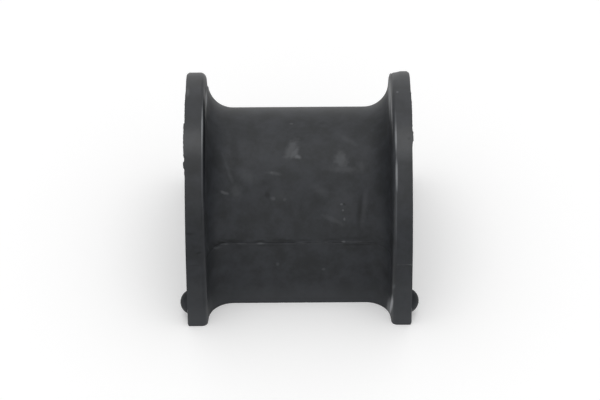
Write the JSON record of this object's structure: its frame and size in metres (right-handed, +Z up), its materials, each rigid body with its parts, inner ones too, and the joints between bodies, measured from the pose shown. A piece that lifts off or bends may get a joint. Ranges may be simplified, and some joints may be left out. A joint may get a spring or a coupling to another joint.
{
  "type": "sway bar bushing",
  "caption": "One-piece moulded rubber D-shaped bushing with a straight bore, a flange at each end and a strap seat between them.",
  "frame": {"origin": "on the bore's axis, half way between the two end faces", "axes": "+X along the bore, +Y to the rear, away from the slit, +Z up from the flat foot"},
  "size_m": [0.0472, 0.0472, 0.0391],
  "materials": {
    "rubber": "moulded black rubber, satin, with mould flash and light scuffs"
  },
  "bodies": {
    "root": {"bushing": "rubber"}
  },
  "joints": []
}
